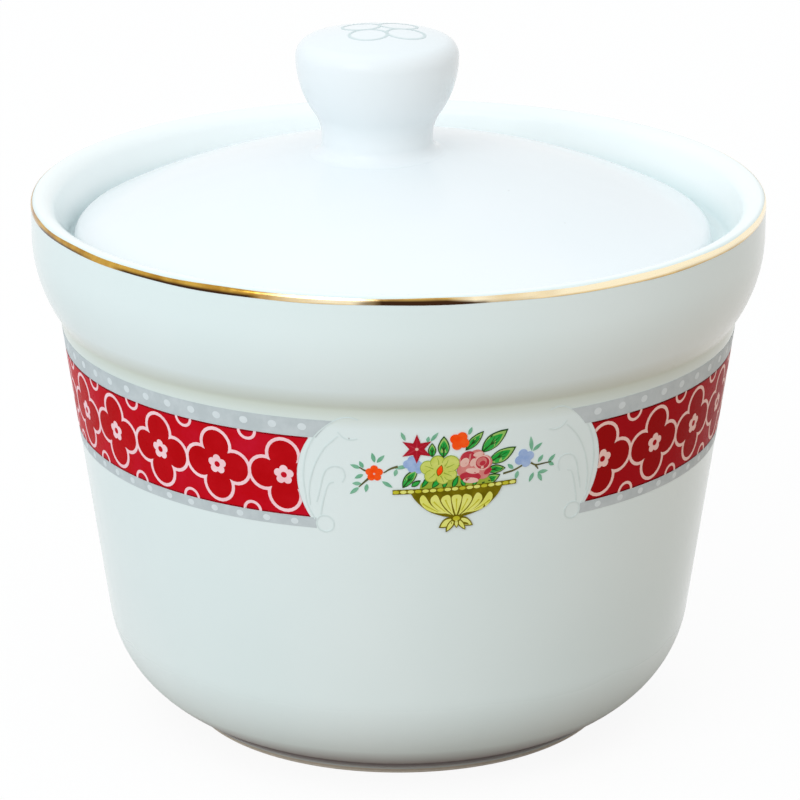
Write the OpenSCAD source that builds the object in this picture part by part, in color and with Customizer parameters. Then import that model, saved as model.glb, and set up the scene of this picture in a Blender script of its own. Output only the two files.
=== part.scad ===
// Lidded rice bowl: a porcelain bowl with a collar and an inner ledge, and a domed lid with a knob that drops
// into the collar. Gilding and enamel transfers lie on the glaze as thin films.
// Millimetres, +Z up, origin on the table at the centre of the foot, the flower basket facing -Y.

/* [Bowl] */
// Outside diameter of the lip
rim_d = 150; // [140:1:165]
// Height of the bowl from the table to the top of the lip
bowl_h = 110.6; // [100:0.1:125]
// Thickness of the lip
lip_t = 4.6; // [3.8:0.1:5.4]
// Radius of the lip's outer edge, which carries the gold
lip_outer_round = 1.2; // [0.8:0.1:1.5]
// Radius of the lip's inner edge
lip_inner_round = 2; // [1.2:0.1:2.2]
// Height of the upright part of the collar, from the top of the lip
collar_upright = 7.5; // [5:0.1:10]
// Radius of the collar's turn towards the wall
collar_round = 28.5; // [22:0.5:36]
// Radius of the hollow where the collar meets the wall
cove_round = 2.5; // [1:0.1:4]
// Height from the shoulder to the top of the lip
collar_h = 22.6; // [20:0.1:26]
// How far the wall stands in from the lip at the shoulder
shoulder_in = 5.1; // [4:0.1:7]
// Lean of the wall from upright, in degrees
wall_lean = 7.9; // [5:0.1:10]
// Thickness of the wall where it meets the base
wall_t = 4.6; // [3.5:0.1:6]
// Radius of the outside turn from the wall to the base
base_round = 25; // [20:0.5:30]
// Radius of the inside turn from the wall to the floor
inner_round = 20; // [14:0.5:26]
// Thickness of the floor
floor_t = 5.2; // [4:0.1:7]

/* [Foot] */
// How far the foot ring stands in from the line of the wall, on the table
foot_in = 13.5; // [11:0.1:17]
// Height of the foot ring's outside
foot_h = 3; // [2:0.1:5]
// How much further out the foot ring stands where it meets the base
foot_flare = 2; // [0.5:0.1:3]
// Width of the foot ring on the table
foot_w = 4.6; // [3.5:0.1:7]
// Radius of the foot ring's edges on the table
foot_round = 0.6; // [0.3:0.1:1]
// Depth of the hollow under the base
foot_recess = 4; // [2.5:0.1:5]

/* [Lid seat] */
// Depth of the ledge below the top of the lip
ledge_drop = 11.5; // [9:0.1:14]
// How far the recess narrows from the lip down to the ledge
seat_in = 2.2; // [1:0.1:3]
// Width of the ledge, from the recess wall to the mouth
ledge_w = 6.4; // [6:0.1:8]
// Radius in the corner between the recess wall and the ledge
ledge_round = 2; // [1:0.1:2]
// Radius of the mouth's edge
mouth_round = 0.8; // [0.4:0.1:1]
// Gap between the recess wall and a centred lid
lid_gap = 2.9; // [2.7:0.1:3.4]
// How far the lid lies to one side in its seat
lid_shift = 1.2; // [0:0.1:1.2]
// Direction of that side, in degrees from +X
lie_dir = 171; // [0:1:359]

/* [Lid] */
// Thickness of the lid's edge
lid_edge_t = 5; // [4:0.1:7]
// Radius of the lid's upper edge
lid_upper_round = 2; // [1:0.1:2.5]
// Radius of the lid's lower edge
lid_lower_round = 0.8; // [0.4:0.1:1]
// Radius of the lid's dome
lid_dome = 141; // [120:1:180]
// Thickness of the lid's dome
lid_t = 4.6; // [3.5:0.1:6]
// Width of the flat ring that the lid stands on
seat_ring_w = 7; // [5:0.1:9]

/* [Knob] */
// Widest diameter of the knob
knob_d = 33.2; // [30:0.2:36]
// Height of the knob above the lid's crown
knob_h = 25.7; // [22:0.1:30]
// Diameter of the knob's waist
waist_d = 22.8; // [18:0.2:26]
// Radius of the knob's top
knob_dome = 62; // [40:1:90]
// Radius of the edge between the knob's top and its side
knob_edge_round = 2.5; // [1.5:0.1:4]
// Radius of the knob's side
belly_round = 20; // [16:0.5:26]
// Radius of the hollow above the waist
waist_round = 8; // [5:0.5:10]
// Radius of the flare from the waist to the lid
flare_round = 3.6; // [2:0.1:4]
// Thickness of the flare's edge
flare_edge = 0.4; // [0.2:0.1:0.8]
// How far the knob stands from the middle of the lid
knob_offset = 3.1; // [0:0.1:4]

/* [Decoration] */
// Thickness of the enamel films
film_t = 0.2; // [0.15:0.01:0.3]
// Thickness of the gilding
gold_t = 0.15; // [0.1:0.01:0.3]
// Height from the red band's top edge to the shoulder
band_drop = 8; // [7:0.1:10]
// Height of the red band
band_h = 17.1; // [14:0.1:20]
// Height of the dotted border above the band
upper_border_h = 3.8; // [2.5:0.1:4.5]
// Height of the dotted border below the band
lower_border_h = 2.3; // [1.5:0.1:4]
// Gap between the band and its borders
border_gap = 0.1; // [0.05:0.01:0.3]
// Width of a cartouche between the red panels, in degrees
cartouche_angle = 52; // [48:1:60]
// Opening of the upper border over a cartouche, in degrees
upper_opening_angle = 38; // [32:1:46]
// Opening of the lower border under a cartouche, in degrees
lower_opening_angle = 46; // [36:1:48]
// Radius of the red panels' hollow ends
panel_end_round = 17; // [13:0.5:24]
// Width of the flower basket's rim
basket_w = 24; // [20:0.5:28]
// Height of the flower basket's bowl
basket_h = 5.4; // [4:0.1:6]
// Diameter of the flowers over the basket
bloom_d = 5.5; // [4:0.1:6.5]
// Diameter of one lobe of the flower drawn on the knob
knob_lobe_d = 7.6; // [5:0.1:9]
// Width of the line that draws the knob's flower
knob_line_w = 0.7; // [0.4:0.05:1]
// How far the knob's flower is drawn from the middle of its top, away from the side the lid lies to
knob_flower_offset = 2; // [0:0.1:2.5]

/* [Hidden] */
$fn = 96;

// Steps in a small arc and in a long one
arc_steps = 6;
long_arc_steps = 16;
// Overrun of a cutting shape
overrun = 2;
// Gap between a film and the glaze under it
film_gap = 0.02;
// Gap between the lid's flat ring and the ledge
seat_gap = 0.02;

rim_r = rim_d / 2;
shoulder_z = bowl_h - collar_h;
shoulder_r = rim_r - shoulder_in;
lean_rise = tan(wall_lean);
foot_r = wall_r(0) - foot_in;
foot_neck_r = foot_r + foot_flare;
floor_z = foot_recess + floor_t;
ledge_z = bowl_h - ledge_drop;
seat_r = rim_r - lip_t - seat_in;
mouth_r = seat_r - ledge_w;

lid_r = seat_r - lid_gap;
lid_rim_z = lid_edge_t - lid_upper_round;
lid_dome_z = lid_rim_z - sqrt(pow(lid_dome - lid_upper_round, 2) - pow(lid_r - lid_upper_round, 2));

knob_r = knob_d / 2;
waist_r = waist_d / 2;
knob_base_r = waist_r + flare_round;
// The crown under the knob is flat, a little wider than the knob's base
crown_r = knob_base_r + knob_offset + flare_edge;
crown_z = lid_dome_z + sqrt(pow(lid_dome, 2) - pow(crown_r, 2));
knob_top_span = sqrt(pow(knob_dome - knob_edge_round, 2) - pow(knob_r - knob_edge_round, 2));
// Height of the knob's widest ring above the crown
knob_wide_z = knob_h - knob_dome + knob_top_span;

band_top_z = shoulder_z - band_drop;
band_low_z = band_top_z - band_h;
band_mid_z = (band_top_z + band_low_z) / 2;
border_top_z = band_top_z + upper_border_h;
border_low_z = band_low_z - lower_border_h;
band_mid_r = wall_r(band_mid_z);
// The cartouches stand at the front and the rear
cartouche_n = 2;
cartouche_pitch = 360 / cartouche_n;
panel_angle = cartouche_pitch - cartouche_angle;

// Outer radius of the tapered wall at a height
function wall_r(z) = shoulder_r - (shoulder_z - z) * lean_rise;

// Points along an arc about [x, z]
function arc(x, z, r, from, to, steps = arc_steps) =
  [for (i = [0:steps]) let (a = from + (to - from) * i / steps) [x + r * cos(a), z + r * sin(a)]];

// Roots of a z^2 + b z + c
function low_root(a, b, c) = (-b - sqrt(b * b - 4 * a * c)) / (2 * a);
function high_root(a, b, c) = (-b + sqrt(b * b - 4 * a * c)) / (2 * a);

// Centre of the base's outside arc: it touches the wall and passes through the foot's neck
base_in = shoulder_r - shoulder_z * lean_rise - base_round / cos(wall_lean);
base_reach = foot_neck_r - base_in;
base_z = high_root(
  1 + pow(lean_rise, 2),
  -2 * (lean_rise * base_reach + foot_h),
  pow(base_reach, 2) + pow(foot_h, 2) - pow(base_round, 2)
);
base_x = base_in + lean_rise * base_z;
base_start = atan2(foot_h - base_z, foot_neck_r - base_x);

// Centre of the cove: it touches the wall and the collar's arc
collar_x = rim_r - collar_round;
collar_z = bowl_h - collar_upright;
cove_in = shoulder_r - shoulder_z * lean_rise + cove_round / cos(wall_lean) - collar_x;
cove_z = low_root(
  1 + pow(lean_rise, 2),
  2 * (lean_rise * cove_in - collar_z),
  pow(cove_in, 2) + pow(collar_z, 2) - pow(collar_round + cove_round, 2)
);
cove_x = collar_x + cove_in + lean_rise * cove_z;
collar_end = atan2(cove_z - collar_z, cove_x - collar_x);

// Centre of the inside base arc, and the angle at which the inner wall leaves it for the mouth
inner_z = floor_z + inner_round;
inner_x = wall_r(inner_z) - wall_t - inner_round;
mouth_z = ledge_z - mouth_round;
mouth_reach = norm([mouth_r - inner_x, mouth_z - inner_z]);
inner_end = atan2(mouth_z - inner_z, mouth_r - inner_x) - acos(inner_round / mouth_reach);

function foot_outline() = concat(
  [[0, foot_recess], [foot_r - foot_w, foot_recess]],
  arc(foot_r - foot_w + foot_round, foot_round, foot_round, 180, 270),
  arc(foot_r - foot_round, foot_round, foot_round, 270, 360)
);

function outside_outline() = concat(
  arc(base_x, base_z, base_round, base_start, -wall_lean, long_arc_steps),
  arc(cove_x, cove_z, cove_round, 180 - wall_lean, 180 + collar_end),
  arc(collar_x, collar_z, collar_round, collar_end, 0)
);

function lip_outline() = concat(
  arc(rim_r - lip_outer_round, bowl_h - lip_outer_round, lip_outer_round, 0, 90),
  arc(rim_r - lip_t + lip_inner_round, bowl_h - lip_inner_round, lip_inner_round, 90, 180)
);

function inside_outline() = concat(
  arc(seat_r - ledge_round, ledge_z + ledge_round, ledge_round, 0, -90),
  arc(mouth_r + mouth_round, mouth_z, mouth_round, 90, 180),
  arc(inner_x, inner_z, inner_round, inner_end, -90, long_arc_steps),
  [[0, floor_z]]
);

function lid_outline() = concat(
  arc(lid_r - lid_lower_round, lid_lower_round, lid_lower_round, -90, 0),
  arc(lid_r - lid_upper_round, lid_rim_z, lid_upper_round, 0,
    atan2(lid_rim_z - lid_dome_z, lid_r - lid_upper_round)),
  arc(0, lid_dome_z, lid_dome, acos((lid_r - lid_upper_round) / (lid_dome - lid_upper_round)),
    acos(crown_r / lid_dome), long_arc_steps),
  [[0, crown_z]],
  arc(0, lid_dome_z, lid_dome - lid_t, 90, acos((lid_r - seat_ring_w) / (lid_dome - lid_t)), long_arc_steps),
  [[lid_r - seat_ring_w, 0]]
);

// Half of the knob's outline, from its base on the crown
waist_centre_x = waist_r + waist_round;
belly_x = knob_r - belly_round;
waist_fall = sqrt(pow(belly_round + waist_round, 2) - pow(waist_centre_x - belly_x, 2));
belly_end = -asin(waist_fall / (belly_round + waist_round));
knob_edge_end = atan2(knob_top_span, knob_r - knob_edge_round);

function knob_outline() = concat(
  [[0, 0], [knob_base_r, 0]],
  arc(knob_base_r, flare_edge + flare_round, flare_round, -90, -180),
  arc(waist_centre_x, knob_wide_z - waist_fall, waist_round, 180, 180 + belly_end),
  arc(belly_x, knob_wide_z, belly_round, belly_end, 0, long_arc_steps),
  arc(knob_r - knob_edge_round, knob_wide_z, knob_edge_round, 0, knob_edge_end),
  arc(0, knob_h - knob_dome, knob_dome, knob_edge_end, 90)
);

module seated_lid() {
  rotate([0, 0, lie_dir])
    translate([lid_shift, 0, ledge_z + seat_gap])
      children();
}

module seated_knob() {
  seated_lid()
    translate([knob_offset, 0, crown_z])
      children();
}

// A film on the tapered wall between two heights, centred on a direction
module wall_film(low_z, top_z, facing, angle) {
  low_r = wall_r(low_z) + film_gap;
  top_r = wall_r(top_z) + film_gap;
  rotate_extrude(angle = angle, start = facing - angle / 2)
    polygon([[low_r, low_z], [low_r + film_t, low_z], [top_r + film_t, top_z], [top_r, top_z]]);
}

// Pushes a flat drawing, with its origin at the band's middle, straight through the wall
module through_wall(facing) {
  rotate([0, 0, facing])
    translate([0, 0, band_mid_z])
      rotate([90, 0, 90])
        linear_extrude(rim_r)
          children();
}

// Distance from a cartouche's middle to the centre of a panel's hollow end
panel_end_x = band_mid_r * sin(cartouche_angle / 2) - panel_end_round;
panel_end_share = 1.2;

module red_panel(facing) {
  color([0.72, 0.06, 0.12])
    difference() {
      wall_film(band_low_z, band_top_z, facing, panel_angle * panel_end_share);
      for (side = [-1, 1])
        through_wall(facing + side * cartouche_pitch / 2)
          union() {
            translate([-side * panel_end_x, 0])
              circle(panel_end_round);
            translate([side * rim_r / 2 - side * panel_end_x, 0])
              square([rim_r, 2 * panel_end_round], center = true);
          }
    }
}

module upper_border(facing) {
  color([0.78, 0.8, 0.81])
    wall_film(band_top_z + border_gap, border_top_z, facing, cartouche_pitch - upper_opening_angle);
}

module lower_border(facing) {
  color([0.78, 0.8, 0.81])
    wall_film(border_low_z, band_low_z - border_gap, facing, cartouche_pitch - lower_opening_angle);
}

// Places of the flowers as shares of half the basket's rim, and of the height from the rim to the band's top
bloom_shares = [
  [-1.29, 0.34], [-0.7, 0.52], [-0.62, 0.81], [-0.22, 0.42],
  [0.08, 0.94], [0.32, 0.46], [1.17, 0.49]
];
// Places of the leaves in the same shares, and their turns in degrees
leaf_shares = [[-1.5, 0.3], [-0.74, 0.26], [-0.28, 0.8], [0.7, 0.84], [0.82, 0.56], [1.42, 0.5]];
leaf_turns = [20, 50, 80, 40, 25, -20];
leaf_width_share = 0.45;
basket_rim_share = 0.365;
basket_bowl_share = 0.71;
basket_lip_share = 0.16;
basket_foot_width_share = 0.24;
basket_foot_height_share = 0.6;
basket_rim_z = -band_h / 2 + band_h * basket_rim_share;
bloom_room = band_h / 2 - basket_rim_z;
basket_foot_w = basket_w * basket_foot_width_share;
basket_foot_h = basket_h * basket_foot_height_share;

module over_basket(place) {
  translate([place[0] * basket_w / 2, basket_rim_z + place[1] * bloom_room])
    children();
}

module basket_drawing() {
  translate([0, basket_rim_z])
    square([basket_w, basket_h * basket_lip_share], center = true);
  translate([0, basket_rim_z])
    intersection() {
      scale([basket_w * basket_bowl_share / 2, basket_h])
        circle(1);
      translate([-basket_w / 2, -basket_h])
        square([basket_w, basket_h]);
    }
  translate([0, basket_rim_z - basket_h])
    square([basket_foot_w, basket_foot_h], center = true);
  for (place = bloom_shares)
    over_basket(place)
      circle(d = bloom_d);
  for (i = [0:len(leaf_shares) - 1])
    over_basket(leaf_shares[i])
      rotate(leaf_turns[i])
        scale([bloom_d / 2, bloom_d * leaf_width_share / 2])
          circle(1);
}

module basket(facing) {
  color([0.85, 0.62, 0.12])
    intersection() {
      wall_film(border_low_z, border_top_z, facing, cartouche_angle);
      through_wall(facing)
        basket_drawing();
    }
}

module bowl_body() {
  color([0.9, 0.94, 0.94])
    rotate_extrude()
      polygon(concat(foot_outline(), outside_outline(), lip_outline(), inside_outline()));
}

module gold_line() {
  edge_x = rim_r - lip_outer_round;
  edge_z = bowl_h - lip_outer_round;
  inner_r = lip_outer_round + film_gap;
  color([0.83, 0.62, 0.16])
    rotate_extrude()
      polygon(concat(
        arc(edge_x, edge_z, inner_r, 90, 0),
        arc(edge_x, edge_z, inner_r + gold_t, 0, 90)
      ));
}

module lid_plate() {
  color([0.92, 0.96, 0.97])
    seated_lid()
      rotate_extrude()
        polygon(lid_outline());
}

module lid_knob() {
  color([0.9, 0.94, 0.94])
    seated_knob()
      rotate_extrude()
        polygon(knob_outline());
}

knob_lobe_r = knob_lobe_d / 2;
knob_lobe_n = 4;

module knob_flower() {
  color([0.62, 0.66, 0.68])
    seated_knob()
      intersection() {
        translate([0, 0, knob_h - knob_dome])
          difference() {
            sphere(knob_dome + film_gap + film_t);
            sphere(knob_dome + film_gap);
          }
        linear_extrude(knob_h + overrun)
          translate([-knob_flower_offset, 0])
            for (i = [0:knob_lobe_n - 1])
              rotate((i + 1 / 2) * 360 / knob_lobe_n)
                translate([knob_lobe_r * sqrt(2), 0])
                  difference() {
                    circle(knob_lobe_r + knob_line_w / 2);
                    circle(knob_lobe_r - knob_line_w / 2);
                  }
      }
}

bowl_body();
gold_line();
red_panel(180);  // red_panel_left
red_panel(0);  // red_panel_right
upper_border(180);  // upper_border_left
upper_border(0);  // upper_border_right
lower_border(180);  // lower_border_left
lower_border(0);  // lower_border_right
basket(-90);  // basket_front
basket(90);  // basket_rear
lid_plate();
lid_knob();
knob_flower();
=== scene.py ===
import math

import bmesh
import bpy
from mathutils import Matrix, Vector
from mathutils.geometry import interpolate_bezier


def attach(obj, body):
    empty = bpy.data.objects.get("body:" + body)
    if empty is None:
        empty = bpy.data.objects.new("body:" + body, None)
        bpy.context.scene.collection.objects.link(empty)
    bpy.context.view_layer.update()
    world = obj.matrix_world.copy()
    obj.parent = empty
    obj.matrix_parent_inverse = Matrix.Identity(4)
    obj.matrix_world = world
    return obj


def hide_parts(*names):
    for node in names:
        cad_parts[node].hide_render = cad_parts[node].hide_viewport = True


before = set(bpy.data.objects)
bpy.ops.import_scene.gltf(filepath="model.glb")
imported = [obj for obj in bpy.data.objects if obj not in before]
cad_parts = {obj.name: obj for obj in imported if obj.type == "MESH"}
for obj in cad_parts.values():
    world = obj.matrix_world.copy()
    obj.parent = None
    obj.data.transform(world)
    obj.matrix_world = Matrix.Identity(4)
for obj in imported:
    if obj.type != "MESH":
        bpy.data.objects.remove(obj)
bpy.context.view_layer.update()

# Sizes in millimetres and degrees, the same as in the part's source
RIM_R = 75
BOWL_H = 110.6
LIP_T = 4.6
LIP_OUTER_ROUND = 1.2
LIP_INNER_ROUND = 2
COLLAR_UPRIGHT = 7.5
COLLAR_ROUND = 28.5
COVE_ROUND = 2.5
SHOULDER_Z = 88
SHOULDER_R = 69.9
WALL_LEAN = math.radians(7.9)
WALL_T = 4.6
BASE_ROUND = 25
INNER_ROUND = 20
FLOOR_Z = 9.2
FOOT_IN = 13.5
FOOT_H = 3
FOOT_FLARE = 2
FOOT_W = 4.6
FOOT_ROUND = 0.6
FOOT_RECESS = 4
LEDGE_Z = 99.1
SEAT_R = 68.2
LEDGE_ROUND = 2
MOUTH_R = 61.8
MOUTH_ROUND = 0.8
SEAT_GAP = 0.02
LID_R = 65.3
LID_SHIFT = 1.2
LIE_DIR = math.radians(171)
LID_EDGE_T = 5
LID_UPPER_ROUND = 2
LID_LOWER_ROUND = 0.8
LID_DOME = 141
LID_T = 4.6
SEAT_RING_W = 7
KNOB_R = 16.6
KNOB_H = 25.7
WAIST_R = 11.4
KNOB_DOME = 62
BELLY_ROUND = 20
WAIST_ROUND = 8
FLARE_ROUND = 3.6
FLARE_EDGE = 0.4
KNOB_OFFSET = 3.1
BAND_MID_Z = 71.45
BAND_H = 17.1
UPPER_BORDER_H = 3.8
LOWER_BORDER_H = 2.3
BORDER_GAP = 0.1

# Softer roundings, which the glaze gives the finished pieces, and how the knob meets the lid
GLAZED_LIP_ROUND = 3.6
GLAZED_KNOB_ROUND = 3.6
GLAZED_LID_ROUND = 2.8
GLAZED_FLARE = 2.6
FOOT_HOLLOW_ROUND = 1.5
FLARE_BLEND = 6
FLARE_LIFT = 0.02
KNOB_SUNK = 0.8
# How far in from the foot's neck and down from it the turned groove has its corners
GROOVE = (0.5, 0.9), (1.4, 0.4)

# Sizes of the painting
PANEL_HOLLOW = (15.2, -0.3, 15.5)
SCROLL_HOLLOW = (12.8, -0.9, 16.7)
LOWER_OPENING = 27.2
FLOWER_PITCH = 14.5
FLOWER_REACH = 4
FLOWER_LOBE = 3.3
FLOWER_LINE = 0.66
FLOWER_TALL = 1.05
SCROLL_LINE = 0.28
KNOB_LOOP_R = 3.85
KNOB_LINE = 0.6
KNOB_FLOWER_TURN = 2
KNOB_FLOWER_SHIFT = 1.5
EDGE_LINE = 0.32
EYE_REACH = 1.2
EYE_LOBE = 0.86
EYE_DOT = 0.62
EDGE_LOOP_R = 1.75
EDGE_LOOP_LINE = 0.6
PLAIN_COAT = 0.002
BASKET_COAT = 0.0012
SCROLL_COAT = 0.001
DOT_COAT = 0.01
HEART_COAT = 0.01
OUTLINE_COAT = 0.02
NEIGHBOUR_STEP = 0.004
GOLD_BELOW = 0.5
GOLD_ABOVE = 42
GOLD_FILM = 0.04
GLAZE_GAP = 0.01
PAINT_LIFT = 0.05
# Rows of dots: how many, how far from the middle they end, their radius and stretch
UPPER_DOTS = 27, 77, 0.75, 1.15
LOWER_DOTS = 26, 74.5, 0.65, 1.2
UPPER_DOT_RISE = 0.2

# The unit and the fineness of the modelling
MILLIMETRE = 0.001
WELD = 0.0005
TURN_STEPS = 192
ARC_STEP = 6
COLUMN = 1.6
LOBE_STEP = 16
DOT_STEPS = 18
LOOP_STEPS = 40
HALF_LOOP_STEPS = 14
SHARP = math.radians(32)

# Heights and distances from the axis, in metres, between which the bowl's glaze changes
COVE_HEIGHT = 0.0865
COVE_SPREAD = 0, 0.0042
INSIDE_HEIGHTS = 0.006, 0.009
SEAT_HEIGHTS = 0.0996, 0.1045
SEAT_REACHES = 0.063, 0.064
OUTSIDE_REACHES = 0.0415, 0.042
FOOT_SHADE_TOP = 0.003, 0.009
FOOT_SHADE_BOTTOM = 0.0014, 0.0028
BARE_HEIGHTS = 0.0012, 0.0015
MATT_HEIGHTS = 0.004, 0.026

# The same for the gold line, with the stretch of it where a darker reflection is painted
GOLD_EDGE_HEIGHTS = 0.1088, 0.1093
GOLD_LOW_HEIGHTS = 0.1092, 0.1097
DARK_ALONG = 0.002, 0.01
DARK_REFLECTION_MIDDLE = -0.009
DARK_REFLECTION_SPREAD = 0.006, 0.0115
DARK_REFLECTION_RISE = 0.0005

# How fine the patches are in which an enamel lies thinner, and where along X, in metres, it is painted deeper
# as shade on the right
BAND_PATCH = 110
FLOWER_PATCH = 130
LINE_PATCH = 240
BASKET_PATCH = 500
SHADED_SIDE_ALONG = -0.02, 0.03


def wall_radius(height):
    return SHOULDER_R - (SHOULDER_Z - height) * math.tan(WALL_LEAN)


BAND_R = wall_radius(BAND_MID_Z)
QUARTER_TURN = BAND_R * math.pi / 2
LID_RIM_Z = LID_EDGE_T - LID_UPPER_ROUND
LID_DOME_Z = LID_RIM_Z - math.sqrt(
    (LID_DOME - LID_UPPER_ROUND) ** 2 - (LID_R - LID_UPPER_ROUND) ** 2)
CROWN_R = WAIST_R + FLARE_ROUND + KNOB_OFFSET + FLARE_EDGE
CROWN_Z = LID_DOME_Z + math.sqrt(LID_DOME ** 2 - CROWN_R ** 2)
LIE = Vector((math.cos(LIE_DIR), math.sin(LIE_DIR), 0))
LID_PLACE = LIE * LID_SHIFT + Vector((0, 0, LEDGE_Z + SEAT_GAP))
KNOB_PLACE = LID_PLACE + LIE * KNOB_OFFSET + Vector((0, 0, CROWN_Z))


class Pen:
    """Draws a line of edges in the XZ plane, for a turner's template or a painted shape."""

    def __init__(self, x, z, mesh=None):
        self.mesh = mesh or bmesh.new()
        self.tip = self.first = self.mesh.verts.new((x, 0, z))

    def line(self, x, z):
        self.tip = bmesh.ops.extrude_vert_indiv(self.mesh, verts=[self.tip])["verts"][0]
        self.tip.co = (x, 0, z)
        return self

    def arc(self, x, z, turn, step=ARC_STEP):
        """Carries on round the point (x, z), anticlockwise for a turn above zero, in degrees."""
        swept = bmesh.ops.spin(
            self.mesh, geom=[self.tip], cent=(x, 0, z), axis=(0, -1, 0),
            angle=math.radians(turn), steps=max(2, math.ceil(abs(turn) / step)),
        )
        self.tip = next(part for part in swept["geom_last"] if isinstance(part, bmesh.types.BMVert))
        return self

    def through(self, *spots, steps=6):
        """Carries on in one flowing line through the spots."""
        knots = [self.tip.co.copy()] + [Vector((x, 0, z)) for x, z in spots]
        for number in range(len(knots) - 1):
            here, there = knots[number], knots[number + 1]
            before = knots[max(number - 1, 0)]
            after = knots[min(number + 2, len(knots) - 1)]
            leans = here + (there - before) / 6, there - (after - here) / 6
            for spot in interpolate_bezier(here, *leans, there, steps + 1)[1:]:
                self.line(spot.x, spot.z)
        return self

    def close(self):
        bmesh.ops.remove_doubles(self.mesh, verts=self.mesh.verts, dist=WELD)
        return self

    def filled(self):
        self.close()
        bmesh.ops.edgeloop_fill(self.mesh, edges=self.mesh.edges)
        return self.mesh

    def in_order(self):
        """The line's vertices from its first to its last."""
        walked, edge = [self.first], None
        while True:
            onward = [joined for joined in walked[-1].link_edges if joined is not edge]
            if not onward:
                return walked
            edge = onward[0]
            walked.append(edge.other_vert(walked[-1]))

    def brushed(self, start_width, end_width=None):
        """Gives the line its width, which may change from one end to the other."""
        spine = self.in_order()
        end_width = start_width if end_width is None else end_width
        sides = {}
        for number, vert in enumerate(spine):
            along = spine[min(number + 1, len(spine) - 1)].co - spine[max(number - 1, 0)].co
            share = number / (len(spine) - 1)
            width = start_width + (end_width - start_width) * share
            sides[vert] = Vector((-along.z, 0, along.x)).normalized() * width / 2
        grown = bmesh.ops.extrude_edge_only(self.mesh, edges=self.mesh.edges[:])["geom"]
        for vert in [part for part in grown if isinstance(part, bmesh.types.BMVert)]:
            twin = next(e.other_vert(vert) for e in vert.link_edges if e.other_vert(vert) in sides)
            vert.co += sides[twin]
        for vert, side in sides.items():
            vert.co -= side
        return self.mesh


def lobed(x, z, count, reach, lobe, turn=0, mesh=None):
    """A closed line of round lobes, with their centres at a reach from the middle."""
    half = math.pi / count
    notch = reach * math.cos(half) + math.sqrt(lobe ** 2 - (reach * math.sin(half)) ** 2)
    sweep = 2 * math.atan2(notch * math.sin(half), notch * math.cos(half) - reach)
    start = math.radians(turn) - half
    pen = Pen(x + notch * math.cos(start), z + notch * math.sin(start), mesh)
    for number in range(count):
        aim = math.radians(turn) + 2 * half * number
        pen.arc(x + reach * math.cos(aim), z + reach * math.sin(aim), math.degrees(sweep), LOBE_STEP)
    return pen.close()


def lobed_line(x, z, count, reach, lobe, width):
    outline = lobed(x, z, count, reach, lobe + width / 2)
    lobed(x, z, count, reach, lobe - width / 2, mesh=outline.mesh)
    bmesh.ops.bridge_loops(outline.mesh, edges=outline.mesh.edges)
    return outline.mesh


def flat_at(x, z, tilt=0, stretch=1):
    """Stands a shape that lies in XY up in the XZ plane, tilted and stretched."""
    return (
        Matrix.Translation((x, 0, z)) @ Matrix.Rotation(-math.radians(tilt), 4, "Y")
        @ Matrix.Diagonal((stretch, 1, 1, 1)) @ Matrix.Rotation(math.pi / 2, 4, "X")
    )


def dot(x, z, radius, stretch=1, tilt=0):
    mesh = bmesh.new()
    place = flat_at(x, z, tilt, stretch)
    bmesh.ops.create_circle(mesh, cap_ends=True, segments=DOT_STEPS, radius=radius, matrix=place)
    return mesh


def loop_line(x, z, radius, width):
    mesh = bmesh.new()
    for edge in (radius + width / 2, radius - width / 2):
        bmesh.ops.create_circle(mesh, segments=LOOP_STEPS, radius=edge, matrix=flat_at(x, z))
    bmesh.ops.bridge_loops(mesh, edges=mesh.edges)
    return mesh


def half_loop(x, z, radius, width, turn):
    """Half a ring that starts at the right and turns up or down."""
    pen = Pen(x + radius - width / 2, z).line(x + radius + width / 2, z)
    bmesh.ops.spin(
        pen.mesh, geom=pen.mesh.verts[:] + pen.mesh.edges[:], cent=(x, 0, z), axis=(0, -1, 0),
        angle=math.radians(turn), steps=HALF_LOOP_STEPS,
    )
    return pen.mesh


def leaf(x, z, tip_x, tip_z, width, bend=0):
    """A pointed leaf from its stalk to its tip."""
    along = Vector((tip_x - x, tip_z - z))
    across = Vector((-along.y, along.x)).normalized() * width / 2
    base = Vector((x, z))
    spots = {}
    for side in (1, -1):
        spots[side] = [
            base + along * share + across * (side * swell + bend * math.sin(math.pi * share))
            for share, swell in ((0.2, 0.7), (0.48, 1), (0.78, 0.62))
        ]
    pen = Pen(x, z).through(*spots[1], (tip_x, tip_z), steps=4)
    return pen.through(*spots[-1][::-1], (x, z), steps=4).filled()


def star(x, z, points, reach, notch):
    """A flower of pointed petals, the first one upright."""
    half = math.pi / points
    spots = []
    for number in range(2 * points):
        aim = math.pi / 2 + half * number
        size = notch if number % 2 else reach
        spots.append((x + size * math.cos(aim), z + size * math.sin(aim)))
    pen = Pen(*spots[0])
    for spot in spots[1:] + spots[:1]:
        pen.line(*spot)
    return pen.filled()


def bar(x, z, wide, tall):
    """A bar that starts at x and is centred on z."""
    return Pen(x, z - tall / 2).line(x + wide, z - tall / 2).line(x + wide, z + tall / 2).line(
        x, z + tall / 2).line(x, z - tall / 2).filled()


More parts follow.
